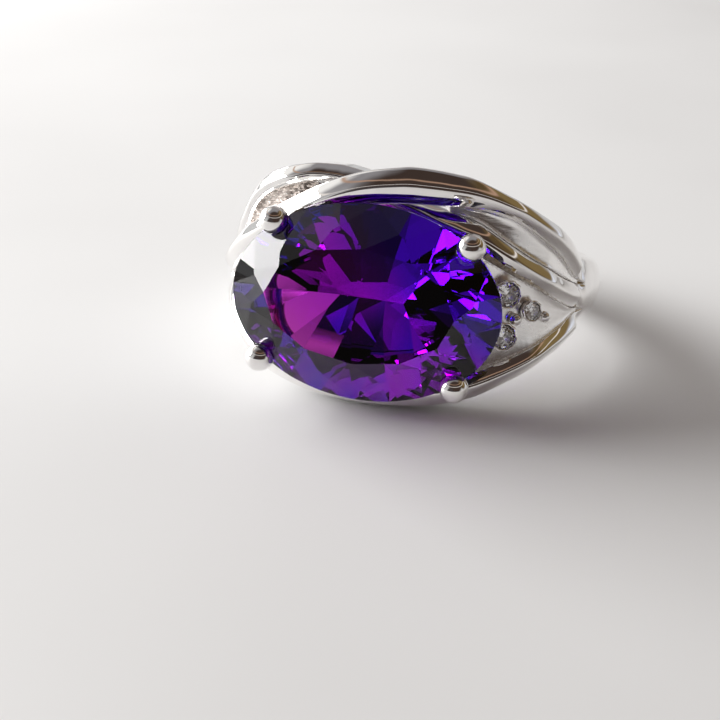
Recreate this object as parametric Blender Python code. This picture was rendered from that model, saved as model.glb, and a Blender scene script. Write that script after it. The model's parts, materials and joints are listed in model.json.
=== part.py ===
"""Bypass cocktail ring lying on its side: a shank, three head strands, sunk plates, a four-claw basket, an oval
twelve-main brilliant and two trefoils of small round stones. Lengths are millimetres until they enter a mesh."""

import math

import bmesh
import bpy
import numpy as np
from mathutils import Matrix, Vector

MM = 0.001
GAP = 0.04  # clearance between neighbouring pieces

# Shank
FINGER_RADIUS = 8.5
SHANK_START = 66.0  # degrees from the head's middle to the shank's end faces
SHANK_STEPS = 48
SHANK_EDGE = 1.1  # radial height of the flat side wall
# (angle, outer radius), (angle, upper edge), (angle, lower edge); the finger axis is the height axis
SHANK_OUTER = [(66, 11.02), (80, 10.5), (110, 10.25), (180, 10.1), (250, 10.25), (280, 10.5), (294, 11.02)]
SHANK_TOP = [(66, 2.4), (78, 2.2), (95, 1.85), (110, 1.7), (250, 1.7), (265, 1.75), (282, 1.9), (294, 2.0)]
SHANK_BOTTOM = [(66, -1.6), (78, -1.3), (95, -1.12), (110, -1.05), (250, -1.05), (265, -1.12), (282, -1.4),
                (294, -1.75)]

# Head strands: keys of (angle, value) for the outer radius, both edges and the thickness
STRAND_STEPS = 44
CROSSING_THICK = [(-66, 2.4), (-50, 2.6), (-32, 2.5), (-20, 1.5), (-14, 1.42), (14, 1.42), (24, 1.8), (36, 2.6),
                  (50, 2.6), (66, 2.4)]
LOOP_THICK = [(-66, 2.4), (-50, 2.6), (-32, 2.4), (-18, 1.8), (18, 1.8), (32, 2.4), (50, 2.6), (66, 2.4)]
LOWER_THICK = [(-66, 2.4), (-50, 2.6), (-25, 2.3), (25, 2.3), (50, 2.6), (66, 2.4)]
CROSSING_OUTER = [(-66, 11.0), (-60, 11.4), (-50, 12.1), (-40, 12.6), (-30, 12.8), (-14, 12.9), (0, 12.75),
                  (12, 12.7), (25, 12.7), (35, 12.75), (45, 12.5), (52, 12.0), (60, 11.4), (66, 11.02)]
CROSSING_TOP = [(-66, 0.75), (-60, 0.9), (-50, 1.6), (-45, 2.1), (-39, 2.77), (-34, 3.26), (-29, 3.91), (-25, 4.44),
                (-19, 5.1), (-14, 5.65), (-8, 6.2), (-3, 6.55), (3, 6.8), (8, 6.94), (20, 6.71), (32, 5.82),
                (42, 4.85), (54, 3.65), (60, 2.95), (66, 2.4)]
CROSSING_BOTTOM = [(-66, -0.45), (-60, -0.35), (-50, 0.25), (-45, 0.7), (-35, 1.75), (-25, 2.75), (-20, 3.25),
                   (-14, 3.85), (-7, 4.5), (0, 4.9), (8, 5.08), (17, 5.1), (26, 5.02), (33, 4.65), (38, 4.13),
                   (43, 3.52), (49, 2.84), (53, 2.35), (57, 1.8), (60, 1.45), (66, 1.04)]
LOOP_OUTER = [(-66, 10.85), (-60, 11.0), (-50, 11.5), (-42, 12.0), (-34, 12.3), (-26, 12.15), (-20, 11.75),
              (-16, 11.4), (-12, 11.2), (-5, 11.1), (5, 11.1), (12, 11.2), (17, 11.45), (22, 11.9), (28, 12.25),
              (35, 12.45), (45, 12.3), (50, 12.0), (60, 11.4), (66, 11.02)]
LOOP_TOP = [(-66, 2.0), (-60, 2.2), (-50, 3.0), (-45, 3.75), (-40, 4.6), (-35, 5.4), (-30, 6.0), (-24, 6.4),
            (-19, 6.58), (-14, 6.6), (-8, 6.45), (0, 6.05), (5, 5.75), (10, 5.4), (15, 5.0), (20, 4.7), (25, 4.4),
            (33, 3.44), (39, 2.75), (45, 2.2), (54, 1.5), (60, 1.2), (66, 1.0)]
LOOP_BOTTOM = [(-66, 0.79), (-60, 0.94), (-50, 1.64), (-45, 2.2), (-41, 2.95), (-38, 3.7), (-34, 4.4), (-29, 4.95),
               (-24, 5.28), (-19, 5.5), (-14, 5.45), (-8, 5.15), (0, 4.6), (10, 3.9), (15, 3.5), (20, 3.1),
               (25, 2.72), (33, 1.9), (38, 1.41), (43, 0.93), (50, 0.35), (60, -0.2), (66, -0.28)]
LOWER_OUTER = [(-66, 10.95), (-60, 11.2), (-50, 11.7), (-40, 12.25), (-30, 12.5), (-15, 12.3), (0, 12.2), (15, 12.3),
               (30, 12.6), (40, 12.6), (50, 12.1), (60, 11.4), (66, 11.02)]
LOWER_TOP = [(-66, -0.49), (-60, -0.6), (-50, -1.14), (-43, -1.74), (-32, -2.75), (-20, -3.65), (-8, -4.05),
             (8, -4.05), (20, -3.65), (32, -2.75), (43, -1.74), (50, -1.14), (60, -0.5), (66, -0.32)]
LOWER_BOTTOM = [(-66, -1.75), (-60, -1.95), (-47, -2.65), (-36, -3.74), (-25, -4.7), (-13, -5.25), (0, -5.43),
                (13, -5.32), (25, -4.77), (36, -3.74), (47, -2.65), (60, -1.85), (66, -1.6)]
SHOULDER_DROP = 0.4  # how far a strand's sides sit below its crest
SHOULDER_PLACE = 0.34  # where its bevel starts, as a share of the width from the middle
SHOULDER_RISE = 0.11

# Sunk plates
PLATE_STEPS = 16
SHOULDER_THICK = 0.9
SHOULDER_SUNK = 0.45  # below the lower strand's crest
WINDOW_THICK = 0.5
WINDOW_SUNK = 0.55  # below the lower of the two upper strands

# Centre stone, an oval brilliant
GIRDLE_HEIGHT = 13.0  # finger axis to the girdle
STONE_LENGTH = 14.0
STONE_WIDTH = 10.0
STONE_TURN = 2.0  # degrees that the oval is turned clockwise in its setting
GIRDLE_THICK = 0.2
CROWN_HEIGHT = 1.5
CROWN_INSET = 2.1
PAVILION_DEPTH = 4.1
STONE_MAINS = 12
STAR_REACH = 0.52  # where the halves meet the crease between two mains, as a share of the way from the girdle
LOWER_REACH = 0.76

# Claws and base rail
CLAW_PLACE = (5.1, 3.55)
CLAW_BEAD_RADIUS = 0.72
CLAW_WIRE_RADIUS = 0.42
CLAW_RISE = 0.45  # bead centre in front of the girdle plane
CLAW_PATH = [(1.0, 0.0), (0.985, 0.75), (0.9, 1.5), (0.78, 2.3), (0.65, 3.05)]  # share of CLAW_PLACE, depth
RAIL_LENGTH = 9.2
RAIL_WIDTH = 6.5
RAIL_DEPTH = 2.6  # below the girdle plane
RAIL_RADIUS = 0.36
WIRE_SIDES = 10
RAIL_SIDES = 8

# Trefoils of small stones: (name, angle from the head's middle, height, size)
TREFOIL = [("upper", 32.4, 0.9, 0.95), ("lower", 32.3, -1.28, 0.95), ("outer", 39.5, 0.04, 0.72)]
TREFOIL_LIFT = {"left": 0.18, "right": 0.0}
CENTRE_BEAD = (35.7, -0.42, 0.32)  # angle, height, radius
TIP_BEAD = (43.9, -0.3, 0.3)
SEAT_LIFT = 0.05
COLLET_PROFILE = [(0.68, 0.0), (0.78, 0.6), (0.645, 0.6), (0.645, 0.45), (0.4, 0.15), (0.4, 0.0)]
COLLET_SIDES = 14
SIDE_STONE_SIZE = 1.2
SIDE_GIRDLE_RISE = 0.52
SIDE_GIRDLE_THICK = 0.05
SIDE_CROWN_HEIGHT = 0.2
SIDE_CROWN_INSET = 0.25
SIDE_PAVILION_DEPTH = 0.42
SIDE_MAINS = 8
BEAD_SIDES = 10
NECK_SHARE = 0.8  # a bead's neck, as a share of its radius

SILVER = ("rhodium_silver", (0.86, 0.86, 0.87), 0.08, 1.0)
CAST_SILVER = ("cast_silver", (0.62, 0.6, 0.58), 0.4, 1.0)
VIOLET = ("violet_quartz", (0.22, 0.02, 0.55), 0.03, 0.0)
CLEAR = ("clear_stone", (0.92, 0.94, 0.97), 0.03, 0.0)


def along(keys, angle):
    """Value at an angle on the smooth curve through (angle, value) keys."""
    place, value = np.array(keys, float).T
    rise = np.diff(value) / np.diff(place)
    slope = np.concatenate([rise[:1], np.zeros(len(rise) - 1), rise[-1:]])
    for i in range(1, len(rise)):
        # A harmonic mean keeps the curve from swinging past its keys, and level stretches stay level.
        if rise[i - 1] * rise[i] > 0:
            slope[i] = 2 * rise[i - 1] * rise[i] / (rise[i - 1] + rise[i])
    i = int(np.clip(np.searchsorted(place, angle, side="right") - 1, 0, len(place) - 2))
    span = place[i + 1] - place[i]
    s = (angle - place[i]) / span
    start = (1 + 2 * s) * (1 - s) ** 2 * value[i] + s * (1 - s) ** 2 * span * slope[i]
    end = s * s * (3 - 2 * s) * value[i + 1] + s * s * (s - 1) * span * slope[i + 1]
    return float(start + end)


def on_ring(angle, radius, height):
    """Point at an angle round the finger from the head's middle, towards +X."""
    turn = math.radians(angle)
    return (radius * math.sin(turn), -radius * math.cos(turn), height)


def material(finish):
    """The material of a finish, made once."""
    name, colour, roughness, metallic = finish
    made = bpy.data.materials.get(name)
    if made is None:
        made = bpy.data.materials.new(name)
        made.use_nodes = True
        made.diffuse_color = (*colour, 1.0)
        shader = made.node_tree.nodes["Principled BSDF"]
        shader.inputs["Base Color"].default_value = (*colour, 1.0)
        shader.inputs["Roughness"].default_value = roughness
        shader.inputs["Metallic"].default_value = metallic
    return made


def add_piece(name, shape, finish, root, smooth=True):
    """Turn a bmesh in millimetres into a named object under the root, with its faces outwards."""
    bmesh.ops.recalc_face_normals(shape, faces=shape.faces)
    if shape.calc_volume(signed=True) < 0:
        bmesh.ops.reverse_faces(shape, faces=shape.faces)
    bmesh.ops.scale(shape, vec=(MM, MM, MM), verts=shape.verts)
    mesh = bpy.data.meshes.new(name)
    shape.to_mesh(mesh)
    shape.free()
    if smooth:
        mesh.shade_smooth()
        mesh.set_sharp_from_angle(angle=math.radians(35))
    piece = bpy.data.objects.new(name, mesh)
    piece.data.materials.append(material(finish))
    piece.parent = root
    bpy.context.scene.collection.objects.link(piece)
    return piece


def add_cutter(name, shape, root):
    """A helper shape that only cuts or joins."""
    helper = add_piece(name, shape, SILVER, root, smooth=False)
    helper.hide_render = True
    helper.display_type = "WIRE"
    return helper


def combine(piece, helper, operation):
    """Union with a helper, or cut by it."""
    step = piece.modifiers.new(helper.name, "BOOLEAN")
    step.object = helper
    step.operation = operation
    step.solver = "EXACT"


def loft(loops, closed=False):
    """Skin between loops that have the same number of points, and cap the two ends."""
    shape = bmesh.new()
    rings = []
    for loop in loops:
        corners = [shape.verts.new(point) for point in loop]
        rings.append([shape.edges.new((corners[i - 1], corners[i])) for i in range(len(corners))])
    pairs = list(zip(rings[:-1], rings[1:]))
    if closed:
        pairs.append((rings[-1], rings[0]))
    for first, second in pairs:
        bmesh.ops.bridge_loops(shape, edges=first + second)
    if not closed:
        bmesh.ops.contextual_create(shape, geom=rings[0])
        bmesh.ops.contextual_create(shape, geom=rings[-1])
    return shape


def strand_section(angle, outer, top, bottom, thick):
    """Strand cross-section: flat inside, upright sides, a low rounded gable outside."""
    middle = (top + bottom) / 2
    half = (top - bottom) / 2
    side = outer - SHOULDER_DROP
    rise = outer - SHOULDER_RISE
    part = 2 * SHOULDER_PLACE * half
    return [
        on_ring(angle, outer - thick, bottom),
        on_ring(angle, side, bottom),
        on_ring(angle, rise, middle - part),
        on_ring(angle, outer, middle),
        on_ring(angle, rise, middle + part),
        on_ring(angle, side, top),
        on_ring(angle, outer - thick, top),
    ]


def strand(outer, top, bottom, thick):
    """Strand swept from one shank end to the other; top and bottom are functions of the angle."""
    end = SHANK_START - math.degrees(GAP / FINGER_RADIUS)
    angles = np.linspace(-end, end, STRAND_STEPS)
    return loft([strand_section(a, along(outer, a), top(a), bottom(a), along(thick, a)) for a in angles])


def crossing_top(angle):
    return along(CROSSING_TOP, angle)


def crossing_bottom(angle):
    """Lower edge, which rests on the loop strand where the two close up on the right shoulder."""
    edge = along(CROSSING_BOTTOM, angle)
    return max(edge, loop_top(angle) + GAP) if angle > 50 else edge


def loop_top(angle):
    return along(LOOP_TOP, angle)


def loop_bottom(angle):
    """Lower edge, which rests on the crossing strand where the two close up on the left shoulder."""
    edge = along(LOOP_BOTTOM, angle)
    return max(edge, crossing_top(angle) + GAP) if angle < -17 else edge


def lower_top(angle):
    """Upper edge, which stays under both upper strands where they meet the shank."""
    limit = min(crossing_bottom(angle), loop_bottom(angle)) - GAP
    return min(along(LOWER_TOP, angle), limit)


def lower_bottom(angle):
    return along(LOWER_BOTTOM, angle)


def make_shank(root):
    """D-shaped band with flat side walls, thicker and wider where it meets the strands."""
    loops = []
    for angle in np.linspace(SHANK_START, 360 - SHANK_START, SHANK_STEPS):
        outer, top, bottom = (along(keys, angle) for keys in (SHANK_OUTER, SHANK_TOP, SHANK_BOTTOM))
        middle, half = (top + bottom) / 2, (top - bottom) / 2
        corner = FINGER_RADIUS + SHANK_EDGE
        crown = outer - corner
        section = [(FINGER_RADIUS, bottom), (corner, bottom)]
        for turn in np.linspace(-60, 60, 5):
            tilt = math.radians(turn)
            section.append((corner + crown * math.cos(tilt), middle + half * math.sin(tilt)))
        section += [(corner, top), (FINGER_RADIUS, top)]
        loops.append([on_ring(angle, radius, height) for radius, height in section])
    return add_piece("shank", loft(loops), SILVER, root)


def plate(first, last, low, high, outer, thick):
    """Sunk plate that fills the space between two strand edges."""
    loops = []
    for angle in np.linspace(first, last, PLATE_STEPS):
        bottom, top, radius = low(angle) + GAP, high(angle) - GAP, outer(angle)
        loops.append([
            on_ring(angle, radius - thick, bottom),
            on_ring(angle, radius, bottom),
            on_ring(angle, radius, top),
            on_ring(angle, radius - thick, top),
        ])
    return loft(loops)


def shoulder_radius(angle):
    return along(LOWER_OUTER, angle) - SHOULDER_SUNK


def window_radius(angle):
    return min(along(LOOP_OUTER, angle), along(CROSSING_OUTER, angle)) - WINDOW_SUNK


def make_plates(root):
    """Two shoulder plates under the trefoils and two window floors between the upper strands."""
    pieces = [
        ("left_shoulder_plate", -61, -27, lower_top, crossing_bottom, shoulder_radius, SHOULDER_THICK, SILVER),
        ("right_shoulder_plate", 27, 61, lower_top, loop_bottom, shoulder_radius, SHOULDER_THICK, SILVER),
        ("loop_window_plate", -42, -18.5, crossing_top, loop_bottom, window_radius, WINDOW_THICK, CAST_SILVER),
        ("teardrop_window_plate", 18, 59, loop_top, crossing_bottom, window_radius, WINDOW_THICK, SILVER),
    ]
    for name, first, last, low, high, outer, thick, finish in pieces:
        add_piece(name, plate(first, last, low, high, outer, thick), finish, root, smooth=False)


def in_stone(x, z, height):
    """Point given across the oval and in front of the girdle plane, turned with the stone."""
    turn = math.radians(STONE_TURN)
    return Vector((
        x * math.cos(turn) + z * math.sin(turn),
        -GIRDLE_HEIGHT - height,
        -x * math.sin(turn) + z * math.cos(turn),
    ))


def facet_planes(length, width, sides, drop, level, tip, reach, offset):
    """Facets of one side of a brilliant as (point, normal) in (x, y, height), cut on the oval girdle.

    The mains run from the girdle, at height level, to the table's corners or the culet at height tip. The halves
    take two neighbouring girdle points and a point on the crease between two mains, at share reach of the way.
    Offset moves every facet outwards."""
    up = 1 if tip > level else -1

    def girdle(turn):
        return Vector((length / 2 * math.cos(turn), width / 2 * math.sin(turn), level))

    def inner(turn, share):
        x = (length / 2 - drop[0] * share) * math.cos(turn)
        y = (width / 2 - drop[1] * share) * math.sin(turn)
        return Vector((x, y, level + (tip - level) * share))

    def facet(a, b, c):
        normal = (b - a).cross(c - a).normalized()
        if normal.z * up < 0:
            normal = -normal
        return a + normal * offset, normal

    step = math.tau / sides
    planes = []
    mains = []
    for i in range(sides):
        turn = i * step
        tangent = Vector((-length * math.sin(turn), width * math.cos(turn), 0))
        mains.append(facet(girdle(turn), girdle(turn) + tangent, inner(turn, 1.0)))
    planes += mains
    for i in range(sides):
        turn = i * step
        (point_a, normal_a), (point_b, normal_b) = mains[i], mains[(i + 1) % sides]
        crease = inner(turn + step / 2, reach)
        # The crease point keeps its plan place and takes the lower of the two mains' heights there.
        heights = [p.z - n.x / n.z * (crease.x - p.x) - n.y / n.z * (crease.y - p.y)
                   for p, n in ((point_a, normal_a), (point_b, normal_b))]
        crease.z = (min(heights) if up > 0 else max(heights)) - offset * up
        for a, b in ((turn, turn + step / 2), (turn + step / 2, turn + step)):
            planes.append(facet(girdle(a), girdle(b), crease))
        if up > 0:
            planes.append(facet(inner(turn, 1.0), inner(turn + step, 1.0), crease))
    return planes


def brilliant(length, width, girdle, crown, inset, depth, mains, offset, place):
    """Cut an oval prism with every crown and pavilion facet; place maps (x, y, height) into the ring."""
    shape = bmesh.new()
    sides = 4 * mains
    top, bottom = crown + girdle + offset, -depth - girdle - offset
    outline = []
    for i in range(sides):
        turn = math.tau * i / sides
        x, y = (length / 2 + offset) * math.cos(turn), (width / 2 + offset) * math.sin(turn)
        outline.append(shape.verts.new((x, y, bottom)))
    base = shape.faces.new(outline)
    lifted = bmesh.ops.extrude_face_region(shape, geom=[base])["geom"]
    corners = [item for item in lifted if isinstance(item, bmesh.types.BMVert)]
    bmesh.ops.translate(shape, verts=corners, vec=(0, 0, top - bottom))
    half = girdle / 2
    planes = facet_planes(length, width, mains, (inset, inset), half, half + crown, STAR_REACH, offset)
    # The pavilion slopes alike all round, so the mains of an oval meet in a short keel and not in a point.
    planes += facet_planes(length, width, mains, (width / 2, width / 2), -half, -half - depth, LOWER_REACH, offset)
    planes.append((Vector((0, 0, half + crown + offset)), Vector((0, 0, 1))))
    for point, normal in planes:
        geometry = shape.verts[:] + shape.edges[:] + shape.faces[:]
        bmesh.ops.bisect_plane(shape, geom=geometry, plane_co=point, plane_no=normal, dist=1e-5, clear_outer=True)
        rim = [edge for edge in shape.edges if edge.is_boundary]
        bmesh.ops.holes_fill(shape, edges=rim)
    bmesh.ops.remove_doubles(shape, verts=shape.verts, dist=1e-4)
    for corner in shape.verts:
        corner.co = place(corner.co)
    return shape


def centre_brilliant(offset):
    return brilliant(STONE_LENGTH, STONE_WIDTH, GIRDLE_THICK, CROWN_HEIGHT, CROWN_INSET, PAVILION_DEPTH,
                     STONE_MAINS, offset, lambda co: in_stone(co.x, co.y, co.z))


def tube(path, radius, sides, closed=False):
    """Round wire along a list of points."""
    count = len(path)
    loops = []
    for i, point in enumerate(path):
        before = path[i - 1] if closed or i else path[0]
        after = path[(i + 1) % count] if closed or i < count - 1 else path[-1]
        ahead = (after - before).normalized()
        side = ahead.cross(Vector((0, 1, 0)) if abs(ahead.y) < 0.7 else Vector((0, 0, 1))).normalized()
        other = ahead.cross(side)
        turns = [math.tau * j / sides for j in range(sides)]
        loops.append([point + (side * math.cos(t) + other * math.sin(t)) * radius for t in turns])
    return loft(loops, closed)


def rail_path(steps=40):
    """Centre line of the oval base rail."""
    points = []
    for i in range(steps):
        turn = math.tau * i / steps
        x, z = RAIL_LENGTH / 2 * math.cos(turn), RAIL_WIDTH / 2 * math.sin(turn)
        points.append(in_stone(x, z, -RAIL_DEPTH))
    return points


def claw_path(side, level):
    """Centre line of a claw's wire, from inside its bead down to the base rail."""
    x, z = CLAW_PLACE
    return [in_stone(side * x * share, level * z * share, CLAW_RISE - depth) for share, depth in CLAW_PATH]


def bead_ball(centre, radius):
    shape = bmesh.new()
    bmesh.ops.create_uvsphere(shape, u_segments=14, v_segments=8, radius=radius, matrix=Matrix.Translation(centre))
    return shape


def make_basket(root):
    """Base rail, centre stone and the four claws, each cut to fit the stone and the rail."""
    rail = rail_path()
    add_piece("base_rail", tube(rail, RAIL_RADIUS, RAIL_SIDES, closed=True), SILVER, root)
    add_piece("centre_stone", centre_brilliant(0.0), VIOLET, root, smooth=False)
    stone_cutter = add_cutter("stone_cutter", centre_brilliant(GAP), root)
    rail_cutter = add_cutter("rail_cutter", tube(rail, RAIL_RADIUS + GAP, RAIL_SIDES, closed=True), root)
    sockets = {}
    for name, side, level in (("upper_left", -1, 1), ("upper_right", 1, 1), ("lower_left", -1, -1),
                              ("lower_right", 1, -1)):
        path = claw_path(side, level)
        claw = add_piece(name + "_claw", tube(path, CLAW_WIRE_RADIUS, WIRE_SIDES), SILVER, root)
        bead = add_cutter(name + "_bead", bead_ball(path[0], CLAW_BEAD_RADIUS), root)
        combine(claw, bead, "UNION")
        combine(claw, stone_cutter, "DIFFERENCE")
        combine(claw, rail_cutter, "DIFFERENCE")
        sockets[name] = add_cutter(name + "_socket", tube(path, CLAW_WIRE_RADIUS + GAP, WIRE_SIDES), root)
    return sockets


def make_strands(root, sockets):
    """The three head strands, with a socket where each claw passes."""
    crossing = strand(CROSSING_OUTER, crossing_top, crossing_bottom, CROSSING_THICK)
    loop = strand(LOOP_OUTER, loop_top, loop_bottom, LOOP_THICK)
    lower = strand(LOWER_OUTER, lower_top, lower_bottom, LOWER_THICK)
    pieces = [
        (add_piece("crossing_strand", crossing, SILVER, root), ["upper_left"]),
        (add_piece("loop_strand", loop, SILVER, root), ["upper_right"]),
        (add_piece("lower_strand", lower, SILVER, root), ["lower_left", "lower_right"]),
    ]
    for piece, names in pieces:
        for name in names:
            combine(piece, sockets[name], "DIFFERENCE")


def seat(angle, height):
    """Matrix of a place on a shoulder plate: local z points out from the finger."""
    outward = Vector(on_ring(angle, 1.0, 0.0))
    side = Vector((0, 0, 1)).cross(outward)
    up = outward.cross(side)
    radius = shoulder_radius(angle) + SEAT_LIFT
    turn = Matrix((side, up, outward)).transposed().to_4x4()
    return Matrix.Translation(Vector(on_ring(angle, radius, height))) @ turn


def turned(profile, sides, place, closed):
    """Shape turned from a (radius, height) profile round the local z axis."""
    shape = bmesh.new()
    corners = [shape.verts.new((radius, 0, height)) for radius, height in profile]
    edges = [shape.edges.new((corners[i], corners[i + 1])) for i in range(len(corners) - 1)]
    if closed:
        edges.append(shape.edges.new((corners[-1], corners[0])))
    bmesh.ops.spin(shape, geom=corners + edges, cent=(0, 0, 0), axis=(0, 0, 1), angle=math.tau, steps=sides)
    bmesh.ops.remove_doubles(shape, verts=shape.verts, dist=1e-4)
    bmesh.ops.transform(shape, matrix=place, verts=shape.verts)
    return shape


def dome(radius):
    """Profile of a bead: a short neck under a round cap."""
    neck = NECK_SHARE * radius
    arc = [math.radians(turn) for turn in (0, 30, 60, 90)]
    cap = [(radius * math.cos(turn), neck + radius * math.sin(turn)) for turn in arc]
    cap[-1] = (0.0, neck + radius)
    return [(0.0, 0.0), (radius, 0.0)] + cap


def make_trefoil(side_name, side, root):
    """Two larger collets and a smaller one with their stones, a bead between them and a bead at the tip."""
    lift = TREFOIL_LIFT[side_name]
    for name, angle, height, size in TREFOIL:
        place = seat(side * angle, height + lift) @ Matrix.Scale(size, 4)
        add_piece(f"{side_name}_collet_{name}", turned(COLLET_PROFILE, COLLET_SIDES, place, True), SILVER, root)
        middle = place @ Matrix.Translation((0, 0, SIDE_GIRDLE_RISE))
        stone = brilliant(SIDE_STONE_SIZE, SIDE_STONE_SIZE, SIDE_GIRDLE_THICK, SIDE_CROWN_HEIGHT, SIDE_CROWN_INSET,
                          SIDE_PAVILION_DEPTH, SIDE_MAINS, 0.0, lambda co: middle @ co)
        add_piece(f"{side_name}_side_stone_{name}", stone, CLEAR, root, smooth=False)
    for name, (angle, height, radius) in (("centre", CENTRE_BEAD), ("tip", TIP_BEAD)):
        bead = turned(dome(radius), BEAD_SIDES, seat(side * angle, height + lift), False)
        add_piece(f"{side_name}_{name}_bead", bead, SILVER, root)


def all_corners():
    """World positions of every corner of the finished pieces."""
    bpy.context.view_layer.update()
    graph = bpy.context.evaluated_depsgraph_get()
    found = []
    for piece in bpy.context.scene.objects:
        if piece.type == "MESH" and not piece.hide_render:
            evaluated = piece.evaluated_get(graph)
            corners = np.empty(len(evaluated.data.vertices) * 3, np.float32)
            evaluated.data.vertices.foreach_get("co", corners)
            world = np.array(evaluated.matrix_world)
            found.append(corners.reshape(-1, 3) @ world[:3, :3].T + world[:3, 3])
    return np.concatenate(found)


def lay_down(root):
    """Lean the ring back until the lower strand and the back of the shank touch the same surface, at z = 0."""
    corners = all_corners()
    lean = 0.0
    for _ in range(6):
        height = corners[:, 1] * math.sin(lean) + corners[:, 2] * math.cos(lean)
        depth = corners[:, 1] * math.cos(lean) - corners[:, 2] * math.sin(lean)
        front = np.where(depth < 0, height, np.inf).argmin()
        back = np.where(depth > 0, height, np.inf).argmin()
        lean += math.atan2(height[front] - height[back], depth[back] - depth[front])
    root.rotation_euler.x = lean
    corners = all_corners()
    low, high = corners.min(axis=0), corners.max(axis=0)
    root.location = (-(low[0] + high[0]) / 2, -(low[1] + high[1]) / 2, -low[2])


def main():
    for old in list(bpy.data.objects):
        bpy.data.objects.remove(old, do_unlink=True)
    root = bpy.data.objects.new("ring_root", None)
    bpy.context.scene.collection.objects.link(root)
    make_shank(root)
    sockets = make_basket(root)
    make_strands(root, sockets)
    make_plates(root)
    make_trefoil("left", -1, root)
    make_trefoil("right", 1, root)
    lay_down(root)


main()
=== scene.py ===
"""Looks of the bypass cocktail ring: polished silver strands, sunk plates, an oval violet brilliant in four
claws and two trefoils of small clear stones, on a pale surface. Shapes are worked out in millimetres in the
ring's own frame: origin on the finger axis, X across the head, -Y the way the centre stone faces, Z along
the finger axis."""

import json
import math

import bmesh
import bpy
import numpy as np
from mathutils import Matrix, Vector


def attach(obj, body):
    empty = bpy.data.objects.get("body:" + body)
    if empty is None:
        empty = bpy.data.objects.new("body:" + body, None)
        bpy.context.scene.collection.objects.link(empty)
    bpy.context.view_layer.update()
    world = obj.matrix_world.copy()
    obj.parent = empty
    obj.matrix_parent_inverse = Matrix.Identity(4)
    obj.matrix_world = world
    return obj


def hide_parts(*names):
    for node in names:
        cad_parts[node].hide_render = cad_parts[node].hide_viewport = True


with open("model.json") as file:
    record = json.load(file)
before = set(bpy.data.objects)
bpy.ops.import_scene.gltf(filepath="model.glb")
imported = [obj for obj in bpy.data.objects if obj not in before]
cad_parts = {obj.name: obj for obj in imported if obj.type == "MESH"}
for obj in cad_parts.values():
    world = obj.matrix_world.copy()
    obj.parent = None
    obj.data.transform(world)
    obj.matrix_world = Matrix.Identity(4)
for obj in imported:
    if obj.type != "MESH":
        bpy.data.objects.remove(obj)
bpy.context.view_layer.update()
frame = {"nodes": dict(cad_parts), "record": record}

MM = 0.001
TAU = 2 * math.pi

# The ring's frame, from the mount on the centre stone's table
TABLE_HEIGHT = 14.6
table = next(mount for mount in frame["record"]["mounts"] if mount["name"] == "stone_table")
FACING = np.array(table["axis"], float)
LEAN = math.atan2(-FACING[2], -FACING[1])
TURN = np.array([[1, 0, 0], [0, math.cos(LEAN), -math.sin(LEAN)], [0, math.sin(LEAN), math.cos(LEAN)]])
RING_ORIGIN = np.array(table["pos_m"], float) - FACING * TABLE_HEIGHT * MM


def in_world(points):
    """Ring-frame millimetres to row-frame metres."""
    return np.asarray(points, float) @ TURN.T * MM + RING_ORIGIN


def in_ring(points):
    """Row-frame metres to ring-frame millimetres."""
    return (np.asarray(points, float) - RING_ORIGIN) @ TURN / MM


# --------------------------------------------------------------------------------------------------
# Shader wiring


class Socket:
    """An output socket whose arithmetic adds Math nodes."""

    def __init__(self, tree, output):
        self.tree = tree
        self.output = output

    def _math(self, operation, first, second=None, clamp=False):
        inputs = {0: first} if second is None else {0: first, 1: second}
        return self.tree.add("ShaderNodeMath", {"operation": operation, "use_clamp": clamp}, inputs)

    def __add__(self, other):
        return self._math("ADD", self, other)

    def __radd__(self, other):
        return self._math("ADD", other, self)

    def __sub__(self, other):
        return self._math("SUBTRACT", self, other)

    def __rsub__(self, other):
        return self._math("SUBTRACT", other, self)

    def __mul__(self, other):
        return self._math("MULTIPLY", self, other)

    def __rmul__(self, other):
        return self._math("MULTIPLY", other, self)

    def clamped(self):
        return self._math("ADD", self, 0.0, clamp=True)

    def ramp(self, start, end):
        """0 below start, 1 above end, smooth between."""
        settings = {"interpolation_type": "SMOOTHSTEP"}
        inputs = {"Value": self, "From Min": start, "From Max": end}
        return self.tree.add("ShaderNodeMapRange", settings, inputs)


class Tree:
    """A node tree that adds a node in one call: its type, its settings, then the values or links of its
    sockets."""

    def __init__(self, nodes_owner):
        nodes_owner.use_nodes = True
        self.nodes = nodes_owner.node_tree.nodes
        self.links = nodes_owner.node_tree.links
        self.nodes.clear()

    def add(self, kind, settings=None, inputs=None, output=0):
        node = self.nodes.new(kind)
        for name, value in (settings or {}).items():
            setattr(node, name, value)
        for key, value in (inputs or {}).items():
            self.feed(node.inputs[key], value)
        return Socket(self, node.outputs[output]) if len(node.outputs) else node

    def feed(self, socket, value):
        if isinstance(value, Socket):
            self.links.new(value.output, socket)
        else:
            socket.default_value = value

    def mix(self, share, first, second):
        """Colour first at share 0, second at share 1."""
        settings = {"data_type": "RGBA"}
        inputs = {0: share, 6: _rgba(first), 7: _rgba(second)}
        return self.add("ShaderNodeMix", settings, inputs, output=2)

    def noise(self, scale, detail=3.0, roughness=0.5, stretch=None):
        """Noise value on Object coordinates, with scale in cycles per metre."""
        place = self.add("ShaderNodeTexCoord", output=3)
        if stretch:
            place = self.add("ShaderNodeMapping", None, {"Vector": place, "Scale": stretch})
        inputs = {"Vector": place, "Scale": scale, "Detail": detail, "Roughness": roughness}
        return self.add("ShaderNodeTexNoise", None, inputs)

    def attribute(self, name):
        return self.add("ShaderNodeAttribute", {"attribute_name": name}, output=2)


def _rgba(value):
    return value if isinstance(value, Socket) else (*value, 1.0)


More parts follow.
